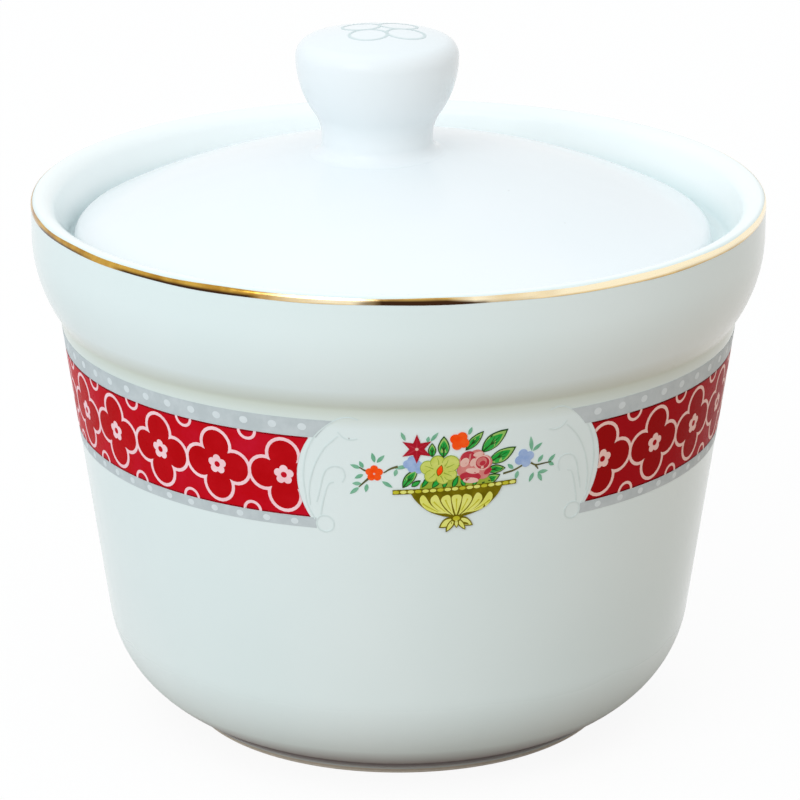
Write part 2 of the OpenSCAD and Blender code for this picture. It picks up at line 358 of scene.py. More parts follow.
class Transfer:
    """An overglaze transfer: shapes drawn flat, each coat over the last, and then laid on the glaze."""

    def __init__(self, *paints, coat=PLAIN_COAT):
        self.mesh = bmesh.new()
        self.paints = paints
        self.lift = PAINT_LIFT
        self.coat = coat

    def add(self, paint, *drawn, coat=None):
        self.lift += self.coat if coat is None else coat
        for shape in drawn:
            for face in shape.faces:
                face.material_index = self.paints.index(paint)
            bmesh.ops.translate(shape, vec=(0, -self.lift, 0), verts=shape.verts)
            sheet = bpy.data.meshes.new("drawn shape")
            shape.to_mesh(sheet)
            shape.free()
            self.mesh.from_mesh(sheet)
            bpy.data.meshes.remove(sheet)

    def cut(self, spot, way):
        """Cuts the whole drawing along the plane that lies across a way."""
        everything = self.mesh.verts[:] + self.mesh.edges[:] + self.mesh.faces[:]
        bmesh.ops.bisect_plane(self.mesh, geom=everything, dist=WELD, plane_co=spot, plane_no=way)

    def hollow(self, side, from_middle, z, radius):
        """Cuts a cartouche's round end out of one side of a panel that is half a turn long."""
        centre = Vector((side * (QUARTER_TURN - from_middle), 0, z))
        cuts = []
        for degrees in range(-60, 61, 5):
            turn = math.radians(degrees)
            away = Vector((-side * math.cos(turn), 0, math.sin(turn)))
            cuts.append((centre + away * radius, away))
        for spot, away in cuts:
            self.cut(spot, away)
        gone = [
            face for face in self.mesh.faces
            if all((face.calc_center_median() - spot).dot(away) < 0 for spot, away in cuts)
        ]
        bmesh.ops.delete(self.mesh, geom=gone, context="FACES")

    def laid(self, bed):
        """Slices the drawing so that it can bend, gives it its thickness and lays it on a bed."""
        ends = [vert.co.x for vert in self.mesh.verts]
        for number in range(math.ceil(min(ends) / COLUMN), math.floor(max(ends) / COLUMN) + 1):
            self.cut((number * COLUMN, 0, 0), (1, 0, 0))
        backs = bmesh.ops.extrude_face_region(self.mesh, geom=self.mesh.faces[:], use_keep_orig=True)["geom"]
        for vert in [part for part in backs if isinstance(part, bmesh.types.BMVert)]:
            vert.co.y = -GLAZE_GAP
        bmesh.ops.recalc_face_normals(self.mesh, faces=self.mesh.faces)
        for vert in self.mesh.verts:
            vert.co = bed(vert.co.x, -vert.co.y, vert.co.z)
        return self.mesh


def on_wall(facing):
    """Lays a drawing round the wall, with its middle at an angle from the front."""
    def bed(along, lift, height):
        turn = math.radians(facing) + along / BAND_R
        radius = wall_radius(BAND_MID_Z + height) + lift
        return radius * math.sin(turn), -radius * math.cos(turn), BAND_MID_Z + height
    return bed


def on_knob(along, lift, height):
    """Lays a drawing on the knob's domed top, a little to the right and back."""
    spot = Vector((along + KNOB_FLOWER_SHIFT, height + KNOB_FLOWER_SHIFT, 0))
    top = KNOB_H - KNOB_DOME + math.sqrt((KNOB_DOME + lift) ** 2 - spot.length_squared)
    return KNOB_PLACE + spot + Vector((0, 0, top))


def put(name, data):
    """Puts an object into the scene."""
    made = bpy.data.objects.new(name, data)
    bpy.context.collection.objects.link(made)
    return made


def put_mesh(name, mesh, materials):
    data = bpy.data.meshes.new(name)
    mesh.to_mesh(data)
    mesh.free()
    for material in materials:
        data.materials.append(material)
    return put(name, data)


def add_piece(name, mesh, materials, body, slot, *nodes):
    """Makes a finished piece of a mesh drawn in millimetres."""
    bmesh.ops.scale(mesh, vec=(MILLIMETRE,) * 3, verts=mesh.verts)
    for face in mesh.faces:
        face.smooth = True
    for edge in mesh.edges:
        if len(edge.link_faces) == 2 and edge.calc_face_angle(0) > SHARP:
            edge.smooth = False
    piece = put_mesh(name, mesh, materials)
    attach(piece, body)
    if nodes:
        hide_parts(*nodes)


def add_painting(name, art, bed, body, slot, *nodes):
    add_piece(name, art.laid(bed), art.paints, body, slot, *nodes)


def turned(pen):
    """Turns a template about the upright axis."""
    mesh = pen.mesh
    bmesh.ops.spin(
        mesh, geom=mesh.verts[:] + mesh.edges[:], cent=(0, 0, 0), axis=(0, 0, 1),
        angle=2 * math.pi, steps=TURN_STEPS, use_merge=True,
    )
    bmesh.ops.remove_doubles(mesh, verts=mesh.verts, dist=WELD)
    bmesh.ops.recalc_face_normals(mesh, faces=mesh.faces)
    return mesh


# Materials

def blank_tree(owner):
    owner.use_nodes = True
    owner.node_tree.nodes.clear()
    return owner.node_tree


def feed(tree, inputs, values):
    """Links or sets sockets."""
    for name, value in values.items():
        if isinstance(value, bpy.types.NodeSocket):
            tree.links.new(value, inputs[name])
        else:
            inputs[name].default_value = value


def add_node(tree, kind, values, **settings):
    """Adds a node with its settings, and feeds it."""
    made = tree.nodes.new(kind)
    for name, value in settings.items():
        setattr(made, name, value)
    feed(tree, made.inputs, values)
    return made


def mixed(tree, share, one, other):
    """A mix of two colours."""
    return add_node(tree, "ShaderNodeMix", {0: share, 6: one, 7: other}, data_type="RGBA").outputs[2]


def ramp(tree, value, low, high, to_low=0.0, to_high=1.0, way="LINEAR"):
    """A value carried from one range to another and kept inside it."""
    return add_node(tree, "ShaderNodeMapRange", {
        "Value": value, "From Min": low, "From Max": high, "To Min": to_low, "To Max": to_high,
    }, interpolation_type=way).outputs["Result"]


def sums(tree, work, one, other):
    return add_node(tree, "ShaderNodeMath", {0: one, 1: other}, operation=work).outputs[0]


def apart(tree, value, spot):
    """How far a value is from a spot, to either side."""
    return sums(tree, "ABSOLUTE", sums(tree, "SUBTRACT", value, spot), 0)


def vectors(tree, work, *given):
    return add_node(tree, "ShaderNodeVectorMath", dict(enumerate(given)), operation=work).outputs


def split(tree, vector):
    return add_node(tree, "ShaderNodeSeparateXYZ", {"Vector": vector}).outputs


def cloud(tree, place, scale, detail, roughness=0.5):
    return add_node(tree, "ShaderNodeTexNoise", {
        "Vector": place, "Scale": scale, "Detail": detail, "Roughness": roughness,
    }).outputs["Fac"]


def colour(red, green, blue):
    """A colour as it looks on a screen, from 0 to 255, as a shader takes it."""
    shares = [part / 255 for part in (red, green, blue)]
    linear = [part / 12.92 if part <= 0.04045 else ((part + 0.055) / 1.055) ** 2.4 for part in shares]
    return (*linear, 1)


def new_group(name, inputs, outputs):
    group = bpy.data.node_groups.new(name, "ShaderNodeTree")
    for direction, sockets in (("INPUT", inputs), ("OUTPUT", outputs)):
        for socket, kind in sockets.items():
            group.interface.new_socket(socket, in_out=direction, socket_type="NodeSocket" + kind)
    return group, group.nodes.new("NodeGroupInput").outputs, group.nodes.new("NodeGroupOutput").inputs


def glaze_group():
    """Clear glaze over white clay: a drifting tint, fine dark specks and a faint ripple."""
    group, given, result = new_group(
        "clear glaze",
        {"Place": "Vector", "Thin Glaze": "Color", "Thick Glaze": "Color", "Speck": "Color"},
        {"Colour": "Color", "Roughness": "Float", "Ripple": "Float"},
    )
    drift = ramp(group, cloud(group, given["Place"], 16, 3), 0.35, 0.65)
    tint = mixed(group, drift, given["Thin Glaze"], given["Thick Glaze"])
    cells = add_node(group, "ShaderNodeTexVoronoi", {"Vector": given["Place"], "Scale": 105.0})
    chance = add_node(group, "ShaderNodeSeparateColor", {"Color": cells.outputs["Color"]}).outputs[0]
    rare = sums(group, "GREATER_THAN", chance, 0.86)
    small = ramp(group, cells.outputs["Distance"], 0.012, 0.03, 1.0, 0.0)
    speck = sums(group, "MULTIPLY", sums(group, "MULTIPLY", rare, small), 0.55)
    feed(group, result, {
        "Colour": mixed(group, speck, tint, given["Speck"]),
        "Roughness": ramp(group, cloud(group, given["Place"], 55, 2), 0.3, 0.7, 0.15, 0.22),
        "Ripple": cloud(group, given["Place"], 42, 2),
    })
    return group


def enamel_group():
    """Brushed overglaze enamel: patches where it lies thinner, and a slightly raised, uneven skin."""
    group, given, result = new_group(
        "brushed enamel",
        {"Place": "Vector", "Full": "Color", "Thin": "Color", "Patch Scale": "Float"},
        {"Colour": "Color", "Roughness": "Float", "Skin": "Float"},
    )
    patch = ramp(group, cloud(group, given["Place"], given["Patch Scale"], 4, 0.65), 0.38, 0.7)
    feed(group, result, {
        "Colour": mixed(group, patch, given["Full"], given["Thin"]),
        "Roughness": ramp(group, cloud(group, given["Place"], 700, 2), 0.3, 0.7, 0.24, 0.38),
        "Skin": cloud(group, given["Place"], 900, 3),
    })
    return group


GLAZE = glaze_group()
ENAMEL = enamel_group()


def new_material(name, show):
    material = bpy.data.materials.new(name)
    material.diffuse_color = show
    tree = blank_tree(material)
    place = tree.nodes.new("ShaderNodeTexCoord").outputs["Object"]
    shader = tree.nodes.new("ShaderNodeBsdfPrincipled")
    add_node(tree, "ShaderNodeOutputMaterial", {"Surface": shader.outputs[0]})
    return material, tree, place, shader.inputs


def bumped(tree, height, strength, distance):
    return add_node(tree, "ShaderNodeBump", {
        "Height": height, "Strength": strength, "Distance": distance,
    }).outputs["Normal"]


def glazed(name, thin, thick):
    material, tree, place, shader = new_material(name, thin)
    glaze = add_node(tree, "ShaderNodeGroup", {
        "Place": place, "Thin Glaze": thin, "Thick Glaze": thick, "Speck": colour(120, 118, 108),
    }, node_tree=GLAZE).outputs
    feed(tree, shader, {
        "Base Color": glaze["Colour"], "Roughness": glaze["Roughness"], "Specular IOR Level": 0.2,
        "Normal": bumped(tree, glaze["Ripple"], 0.08, 0.0003),
    })
    return material, tree, place, shader, glaze


def bowl_glaze():
    """Glaze with painted shade in the cove, in the lid's seat and round the foot, painted light within the
    lip, and bare clay where it ends at the foot.
    """
    material, tree, place, shader, glaze = glazed("bowl glaze", colour(231, 243, 243), colour(226, 240, 240))
    height = split(tree, place)["Z"]
    flat = vectors(tree, "MULTIPLY", place, (1, 1, 0))["Vector"]
    reach = vectors(tree, "LENGTH", flat)["Value"]
    # Painted shade: a darker, warmer band in the cove under the collar
    cove = ramp(tree, apart(tree, height, COVE_HEIGHT), *COVE_SPREAD, 0.6, 0)
    cove_shaded = mixed(tree, cove, glaze["Colour"], colour(192, 197, 174))
    # Within are the faces above the foot's hollow that look up or towards the axis; they are painted paler,
    # as painted light
    normal = tree.nodes.new("ShaderNodeTexCoord").outputs["Normal"]
    facing = sums(tree, "DIVIDE", vectors(tree, "DOT_PRODUCT", normal, flat)["Value"], reach)
    within = sums(tree, "MULTIPLY", ramp(tree, facing, 0.05, 0.6, 1, 0), ramp(tree, height, *INSIDE_HEIGHTS))
    painted_light_within = mixed(tree, within, cove_shaded, colour(248, 254, 254))
    # Painted shade: a darker, cooler tint low in the corner of the lid's seat
    low = ramp(tree, height, *SEAT_HEIGHTS, 0.45, 0)
    corner = sums(tree, "MULTIPLY", low, ramp(tree, reach, *SEAT_REACHES))
    seat_shaded = mixed(tree, sums(tree, "MULTIPLY", corner, within), painted_light_within, colour(216, 238, 240))
    # Painted brown shade where the foot meets the body, fading up the base above it, and bare clay on the
    # face that stands
    outside = ramp(tree, reach, *OUTSIDE_REACHES)
    above = ramp(tree, height, *FOOT_SHADE_TOP, 0.7, 0)
    below = ramp(tree, height, *FOOT_SHADE_BOTTOM, 0.1, 1)
    line = sums(tree, "MULTIPLY", sums(tree, "MINIMUM", above, below), outside)
    foot_shaded = mixed(tree, line, seat_shaded, colour(108, 54, 38))
    bare = ramp(tree, height, *BARE_HEIGHTS, 1, 0)
    clay = mixed(tree, cloud(tree, place, 900, 3), colour(228, 220, 206), colour(206, 196, 180))
    # The gloss fades towards the foot
    fading = ramp(tree, height, *MATT_HEIGHTS, 1, 0, "SMOOTHSTEP")
    matt = sums(tree, "MAXIMUM", bare, sums(tree, "MULTIPLY", fading, outside))
    dull = add_node(tree, "ShaderNodeMix", {0: matt, 2: glaze["Roughness"], 3: 0.75})
    feed(tree, shader, {"Base Color": mixed(tree, bare, foot_shaded, clay), "Roughness": dull.outputs[0]})
    return material


def fired_gold():
    """Brushed gold with painted highlights, pale in places, and painted dark reflections in others along its
    lower edge.
    """
    material, tree, place, shader = new_material("fired gold", colour(222, 176, 80))
    along = split(tree, place)
    # Painted dark reflection: a stretch near the front is darker and reaches higher
    dark_reflection_stretch = ramp(tree, apart(tree, along["X"], DARK_REFLECTION_MIDDLE), *DARK_REFLECTION_SPREAD, 1, 0)
    # Painted highlights: pale patches towards the upper edge, kept out of the dark stretch
    highlight_noise = sums(tree, "ADD", cloud(tree, place, 17, 3), sums(tree, "MULTIPLY", along["X"], 4))
    highlight_room = sums(tree, "MINIMUM", ramp(tree, highlight_noise, 0.52, 0.6), ramp(tree, dark_reflection_stretch, 0, 1, 1, 0.1))
    pale = sums(tree, "MINIMUM", highlight_room, ramp(tree, along["Z"], *GOLD_EDGE_HEIGHTS, 0.2, 1))
    # Painted dark reflections: patches along the lower edge, fewer towards the right
    patches = ramp(tree, cloud(tree, place, 31, 3), 0.46, 0.52)
    patchy_dark_reflection = sums(tree, "MULTIPLY", patches, ramp(tree, along["X"], *DARK_ALONG, 1, 0.2))
    height = sums(tree, "SUBTRACT", along["Z"], sums(tree, "MULTIPLY", dark_reflection_stretch, DARK_REFLECTION_RISE))
    low = ramp(tree, height, *GOLD_LOW_HEIGHTS, 1, 0)
    dark = sums(tree, "MULTIPLY", sums(tree, "MAXIMUM", patchy_dark_reflection, dark_reflection_stretch), low)
    grain = ramp(tree, cloud(tree, place, 180, 4, 0.6), 0.4, 0.7)
    body = mixed(tree, grain, colour(208, 166, 74), colour(164, 116, 38))
    highlighted_gold = mixed(tree, pale, body, colour(255, 240, 205))
    feed(tree, shader, {
        "Base Color": mixed(tree, dark, highlighted_gold, colour(62, 38, 22)), "Metallic": 1,
        "Roughness": ramp(tree, cloud(tree, place, 420, 2), 0.3, 0.7, 0.1, 0.24),
        "Normal": bumped(tree, cloud(tree, place, 260, 2), 0.3, 0.0002),
    })
    return material


def enamel(name, full, thin, patch_scale=BASKET_PATCH, fired=None):
    """An enamel, which may turn to a deeper colour towards the right, as painted shade on that side."""
    material, tree, place, shader = new_material(name, colour(*full))
    wash = add_node(tree, "ShaderNodeGroup", {
        "Place": place, "Full": colour(*full), "Thin": colour(*thin), "Patch Scale": patch_scale,
    }, node_tree=ENAMEL).outputs
    coat = wash["Colour"]
    # Painted shade: the colour deepens towards +X, the side in shade
    if fired:
        shaded_side_mask = ramp(tree, split(tree, place)["X"], *SHADED_SIDE_ALONG)
        coat = mixed(tree, shaded_side_mask, coat, colour(*fired))
    feed(tree, shader, {
        "Base Color": coat, "Roughness": wash["Roughness"], "Specular IOR Level": 0.01,
        "Normal": bumped(tree, wash["Skin"], 0.15, 0.00005),
    })
    return material


bowl_porcelain = bowl_glaze()
lid_porcelain = glazed("lid glaze", colour(241, 246, 249), colour(238, 245, 248))[0]
gold = fired_gold()
# The last colour of each red and of the pink is painted shade, deeper towards the right
red = enamel("band red", (196, 12, 24), (202, 24, 48), BAND_PATCH, (168, 20, 28))
deep_red = enamel("flower red", (186, 10, 18), (196, 18, 28), FLOWER_PATCH, (158, 18, 20))
edge_red = enamel("edge red", (138, 8, 20), (156, 14, 30), FLOWER_PATCH, (118, 8, 14))
pale_pink = enamel("outline pink", (252, 218, 224), (246, 200, 207), LINE_PATCH, (242, 206, 198))
border_grey = enamel("border grey", (192, 202, 205), (204, 213, 216), LINE_PATCH)
dot_white = enamel("dot white", (222, 231, 234), (216, 226, 229), LINE_PATCH)
scroll_grey = enamel("scroll grey", (216, 230, 229), (222, 236, 236), LINE_PATCH)
knob_grey = enamel("knob line grey", (210, 223, 224), (222, 234, 235), LINE_PATCH)
ochre = enamel("dark ochre", (108, 98, 10), (134, 122, 20))
rim_gold = enamel("rim yellow", (190, 186, 42), (208, 204, 64))
flute_yellow = enamel("flute yellow", (226, 228, 110), (234, 236, 138))
dark_green = enamel("leaf edge green", (34, 74, 30), (52, 90, 34))
leaf_green = enamel("leaf green", (32, 162, 64), (66, 180, 82))
pale_green = enamel("leaf light green", (150, 196, 100), (168, 204, 120))
star_red = enamel("star crimson", (174, 26, 42), (188, 38, 54))
orange = enamel("blossom orange", (255, 76, 16), (255, 104, 40))
rose_pale = enamel("rose pale", (232, 186, 174), (236, 200, 188))
rose_pink = enamel("rose pink", (212, 122, 118), (220, 150, 142))
rose_deep = enamel("rose deep", (186, 46, 62), (196, 66, 78))
petal_lime = enamel("petal lime", (200, 212, 92), (214, 224, 124))
petal_edge = enamel("petal edge", (154, 176, 60), (166, 186, 74))
sky_blue = enamel("blossom blue", (146, 174, 222), (176, 198, 232))
sprig_teal = enamel("sprig teal", (112, 178, 144), (146, 198, 170))
stem_brown = enamel("stem olive", (84, 84, 48), (112, 110, 70))


# The bowl and its gold line

def quadratic_root(a, b, c, sign):
    """The higher root for a sign of 1, the lower one for -1."""
    return (-b + sign * math.sqrt(b * b - 4 * a * c)) / (2 * a)


def bowl_template():
    lean = math.tan(WALL_LEAN)
    axis_r = wall_radius(0)
    foot_r = axis_r - FOOT_IN
    neck_r = foot_r + FOOT_FLARE
    # Centre of the base's outside arc, which touches the wall and passes through the foot's neck
    base_in = axis_r - BASE_ROUND / math.cos(WALL_LEAN)
    reach = neck_r - base_in
    base_z = quadratic_root(
        1 + lean ** 2, -2 * (lean * reach + FOOT_H), reach ** 2 + FOOT_H ** 2 - BASE_ROUND ** 2, 1,
    )
    base_x = base_in + lean * base_z
    base_start = math.degrees(math.atan2(FOOT_H - base_z, neck_r - base_x))
    wall_turn = math.degrees(WALL_LEAN)
    # Centre of the cove, which touches the wall and the collar's arc
    collar_x = RIM_R - COLLAR_ROUND
    collar_z = BOWL_H - COLLAR_UPRIGHT
    cove_in = axis_r + COVE_ROUND / math.cos(WALL_LEAN) - collar_x
    cove_z = quadratic_root(
        1 + lean ** 2, 2 * (lean * cove_in - collar_z),
        cove_in ** 2 + collar_z ** 2 - (COLLAR_ROUND + COVE_ROUND) ** 2, -1,
    )
    cove_x = collar_x + cove_in + lean * cove_z
    collar_end = math.degrees(math.atan2(cove_z - collar_z, cove_x - collar_x))
    # Centre of the lip's inner rounding, which touches the lip's top and the leaning wall of the lid's seat
    seat_top = RIM_R - LIP_T, BOWL_H - LIP_INNER_ROUND
    seat_lean = math.atan2(seat_top[0] - SEAT_R, seat_top[1] - LEDGE_Z - LEDGE_ROUND)
    lip_z = BOWL_H - GLAZED_LIP_ROUND
    lip_foot = SEAT_R + (lip_z - LEDGE_Z - LEDGE_ROUND) * math.tan(seat_lean)
    lip_x = lip_foot + GLAZED_LIP_ROUND / math.cos(seat_lean)
    # The inside base arc, and the angle at which the inner wall leaves it for the mouth
    inner_z = FLOOR_Z + INNER_ROUND
    inner_x = wall_radius(inner_z) - WALL_T - INNER_ROUND
    mouth_z = LEDGE_Z - MOUTH_ROUND
    mouth_reach = math.hypot(MOUTH_R - inner_x, mouth_z - inner_z)
    inner_end = math.atan2(mouth_z - inner_z, MOUTH_R - inner_x) - math.acos(INNER_ROUND / mouth_reach)

    hollow_r = foot_r - FOOT_W
    pen = Pen(0, FOOT_RECESS)
    pen.line(hollow_r - FOOT_HOLLOW_ROUND, FOOT_RECESS)
    pen.arc(hollow_r - FOOT_HOLLOW_ROUND, FOOT_RECESS - FOOT_HOLLOW_ROUND, -90)
    pen.line(hollow_r, FOOT_ROUND).arc(hollow_r + FOOT_ROUND, FOOT_ROUND, 90)
    pen.line(foot_r - FOOT_ROUND, 0).arc(foot_r - FOOT_ROUND, FOOT_ROUND, 90)
    # A turned groove parts the foot from the body
    for inward, down in GROOVE:
        pen.line(neck_r - inward, FOOT_H - down)
    pen.line(neck_r, FOOT_H)
    pen.arc(base_x, base_z, -wall_turn - base_start, 3)
    pen.line(cove_x - COVE_ROUND * math.cos(WALL_LEAN), cove_z + COVE_ROUND * math.sin(WALL_LEAN))
    pen.arc(cove_x, cove_z, collar_end + wall_turn, 3)
    pen.arc(collar_x, collar_z, -collar_end, 2)
    pen.line(RIM_R, BOWL_H - LIP_OUTER_ROUND).arc(RIM_R - LIP_OUTER_ROUND, BOWL_H - LIP_OUTER_ROUND, 90, 9)
    pen.line(lip_x, BOWL_H).arc(lip_x, lip_z, 90 - math.degrees(seat_lean), 6)
    pen.line(SEAT_R, LEDGE_Z + LEDGE_ROUND).arc(SEAT_R - LEDGE_ROUND, LEDGE_Z + LEDGE_ROUND, -90, 9)
    pen.line(MOUTH_R + MOUTH_ROUND, LEDGE_Z).arc(MOUTH_R + MOUTH_ROUND, mouth_z, 90, 15)
    pen.line(inner_x + INNER_ROUND * math.cos(inner_end), inner_z + INNER_ROUND * math.sin(inner_end))
    pen.arc(inner_x, inner_z, -90 - math.degrees(inner_end), 4)
    pen.line(0, FLOOR_Z)
    return pen


add_piece("bowl_porcelain", turned(bowl_template()), [bowl_porcelain], "bowl", "porcelain", "bowl_body")


def gold_line():
    """A brushed line round the lip's outer corner, with edges that wander a little."""
    centre_r, centre_z = RIM_R - LIP_OUTER_ROUND, BOWL_H - LIP_OUTER_ROUND
    radius = LIP_OUTER_ROUND + PAINT_LIFT
    outer_r = RIM_R + PAINT_LIFT
    pen = Pen(outer_r, centre_z - GOLD_BELOW).line(outer_r, centre_z - GOLD_BELOW / 2)
    mesh = turned(pen.line(outer_r, centre_z).arc(centre_r, centre_z, GOLD_ABOVE, 8))
    for vert in mesh.verts:
        around = math.atan2(vert.co.y, vert.co.x)
        tilt = math.atan2(vert.co.z - centre_z, math.hypot(vert.co.x, vert.co.y) - centre_r)
        if vert.co.z < centre_z:
            wander = 0.1 * math.cos(around) + 0.1 * math.sin(5 * around) + 0.05 * math.sin(19 * around + 1)
            vert.co.z -= wander * (centre_z - vert.co.z) / GOLD_BELOW
        else:
            wander = 0.05 * math.cos(around) + 0.06 * math.sin(11 * around) + 0.04 * math.sin(23 * around + 2)
            tilt *= 1 + wander / math.radians(GOLD_ABOVE)
            reach = centre_r + radius * math.cos(tilt)
            vert.co = (reach * math.cos(around), reach * math.sin(around), centre_z + radius * math.sin(tilt))
    bmesh.ops.solidify(mesh, geom=mesh.faces[:], thickness=GOLD_FILM)
    bmesh.ops.recalc_face_normals(mesh, faces=mesh.faces)
    return mesh


add_piece("lip_gold_line", gold_line(), [gold], "bowl", "gilding", "gold_line")


# The lid and its knob

def lid_template():
    ring_r = LID_R - SEAT_RING_W
    under = LID_DOME - LID_T
    ring_turn = math.degrees(math.acos(ring_r / under))
    edge_r = LID_R - GLAZED_LID_ROUND
    edge_z = LID_DOME_Z + math.sqrt((LID_DOME - GLAZED_LID_ROUND) ** 2 - edge_r ** 2)
    edge_turn = math.degrees(math.atan2(edge_z - LID_DOME_Z, edge_r))
    pen = Pen(0, LID_DOME_Z + under)
    pen.arc(0, LID_DOME_Z, ring_turn - 90, 1.5)
    pen.line(ring_r, LID_LOWER_ROUND).arc(ring_r + LID_LOWER_ROUND, LID_LOWER_ROUND, 90, 15)
    pen.line(LID_R - LID_LOWER_ROUND, 0).arc(LID_R - LID_LOWER_ROUND, LID_LOWER_ROUND, 90, 15)
    pen.line(LID_R, edge_z).arc(edge_r, edge_z, edge_turn, 6)
    pen.arc(0, LID_DOME_Z, 90 - edge_turn, 1)
    return pen


lid_mesh = turned(lid_template())
bmesh.ops.translate(lid_mesh, vec=LID_PLACE, verts=lid_mesh.verts)
add_piece("lid_dome", lid_mesh, [lid_porcelain], "lid", "lid_porcelain", "lid_plate")


def knob_template():
    base_r = WAIST_R + GLAZED_FLARE
    span = math.sqrt((KNOB_DOME - GLAZED_KNOB_ROUND) ** 2 - (KNOB_R - GLAZED_KNOB_ROUND) ** 2)
    wide_z = KNOB_H - KNOB_DOME + span
    waist_x = WAIST_R + WAIST_ROUND
    belly_x = KNOB_R - BELLY_ROUND
    fall = math.sqrt((BELLY_ROUND + WAIST_ROUND) ** 2 - (waist_x - belly_x) ** 2)
    belly_end = -math.degrees(math.asin(fall / (BELLY_ROUND + WAIST_ROUND)))
    edge_end = math.degrees(math.atan2(span, KNOB_R - GLAZED_KNOB_ROUND))
    pen = Pen(0, -KNOB_SUNK).line(base_r, -KNOB_SUNK)
    pen.line(base_r, FLARE_LIFT).arc(base_r, FLARE_LIFT + GLAZED_FLARE, -90)
    pen.line(WAIST_R, wide_z - fall).arc(waist_x, wide_z - fall, belly_end, 4)
    pen.arc(belly_x, wide_z, -belly_end, 3)
    pen.arc(KNOB_R - GLAZED_KNOB_ROUND, wide_z, edge_end, 6)
    pen.arc(0, KNOB_H - KNOB_DOME, 90 - edge_end, 1)
    return pen


def settled(mesh):
    """Bends the knob's flare to follow the lid's dome."""
    for vert in mesh.verts:
        spot = Vector((vert.co.x, vert.co.y, 0)) + LIE * KNOB_OFFSET
        rise = LID_DOME_Z + math.sqrt(LID_DOME ** 2 - spot.length_squared) - CROWN_Z
        vert.co.z += rise * min(max(1 - vert.co.z / FLARE_BLEND, 0), 1)
    return mesh


knob_mesh = settled(turned(knob_template()))
bmesh.ops.translate(knob_mesh, vec=KNOB_PLACE, verts=knob_mesh.verts)
add_piece("lid_knob_turned", knob_mesh, [lid_porcelain], "lid", "lid_porcelain", "lid_knob")


def knob_flower():
    art = Transfer(knob_grey)
    for number in range(4):
        aim = math.radians(KNOB_FLOWER_TURN + 45 + 90 * number)
        reach = KNOB_LOOP_R * math.sqrt(2)
        art.add(knob_grey, loop_line(reach * math.cos(aim), reach * math.sin(aim), KNOB_LOOP_R, KNOB_LINE))
    return art


add_painting("knob_flower_line", knob_flower(), on_knob, "lid", "line_enamel", "knob_flower")


# The painted band

def red_panel(shift):
    """A red panel with a row of four-lobed flowers, set along by a shift so that it fits its cartouches."""
    art = Transfer(red, deep_red, edge_red, pale_pink)
    end = QUARTER_TURN - PANEL_HOLLOW[0] - PANEL_HOLLOW[2] * 0.8
    # The bars reach into the cartouches' round ends, which are then cut out of them
    art.add(red, bar(-end, 0, 2 * end, BAND_H))
    for side in (1, -1):
        art.add(edge_red, bar(-end, side * (BAND_H / 2 - EDGE_LINE / 2), 2 * end, EDGE_LINE))
    ground = art.lift
    for number in range(-5, 6):
        middle = shift + number * FLOWER_PITCH
        heart = lobed(middle, 0, 4, FLOWER_REACH, FLOWER_LOBE).filled()
        outline = lobed_line(middle, 0, 4, FLOWER_REACH, FLOWER_LOBE, FLOWER_LINE)
        for shape in (heart, outline):
            bmesh.ops.scale(shape, vec=(1, 1, FLOWER_TALL), verts=shape.verts)
        # Neighbours overlap, so every second flower lies a little higher
        art.add(deep_red, heart, coat=HEART_COAT + NEIGHBOUR_STEP * (number % 2))
        art.add(pale_pink, outline, lobed(middle, 0, 5, EYE_REACH, EYE_LOBE, 90).filled(), coat=OUTLINE_COAT)
        art.add(red, dot(middle, 0, EYE_DOT), coat=OUTLINE_COAT)
        art.lift = ground
    for number in range(-6, 6):
        middle = shift + (number + 0.5) * FLOWER_PITCH
        for side in (1, -1):
            loop = half_loop(middle, side * BAND_H / 2, EDGE_LOOP_R, EDGE_LOOP_LINE, -side * 180)
            art.add(pale_pink, loop, coat=0)
    for side in (1, -1):
        art.hollow(side, *PANEL_HOLLOW)
    return art


def dot_row(z, count, end, radius, stretch):
    return [dot(end - number * 2 * end / (count - 1), z, radius, stretch) for number in range(count)]


def upper_border():
    art = Transfer(border_grey, dot_white)
    end = QUARTER_TURN - SCROLL_HOLLOW[0] - SCROLL_HOLLOW[2] * 0.5
    low = BAND_H / 2 + BORDER_GAP
    middle = (low + BAND_H / 2 + UPPER_BORDER_H) / 2
    art.add(border_grey, bar(-end, middle, 2 * end, UPPER_BORDER_H - BORDER_GAP))
    for side in (1, -1):
        art.hollow(side, *SCROLL_HOLLOW)
    art.add(dot_white, *dot_row(middle + UPPER_DOT_RISE, *UPPER_DOTS), coat=DOT_COAT)
    return art


def lower_border():
    art = Transfer(border_grey, dot_white)
    end = QUARTER_TURN - LOWER_OPENING
    middle = -(BAND_H + BORDER_GAP + LOWER_BORDER_H) / 2
    art.add(border_grey, bar(-end, middle, 2 * end, LOWER_BORDER_H - BORDER_GAP))
    art.add(dot_white, *dot_row(middle, *LOWER_DOTS), coat=DOT_COAT)
    return art


for hand, facing, shift in (("left", -90, 0.35), ("right", 90, -2.1)):
    for kind, art, slot in (
        ("red_panel", red_panel(shift), "red_enamel"), ("upper_border", upper_border(), "grey_enamel"),
        ("lower_border", lower_border(), "grey_enamel"),
    ):
        add_painting(f"{kind}_{hand}_painted", art, on_wall(facing), "bowl", slot, f"{kind}_{hand}")


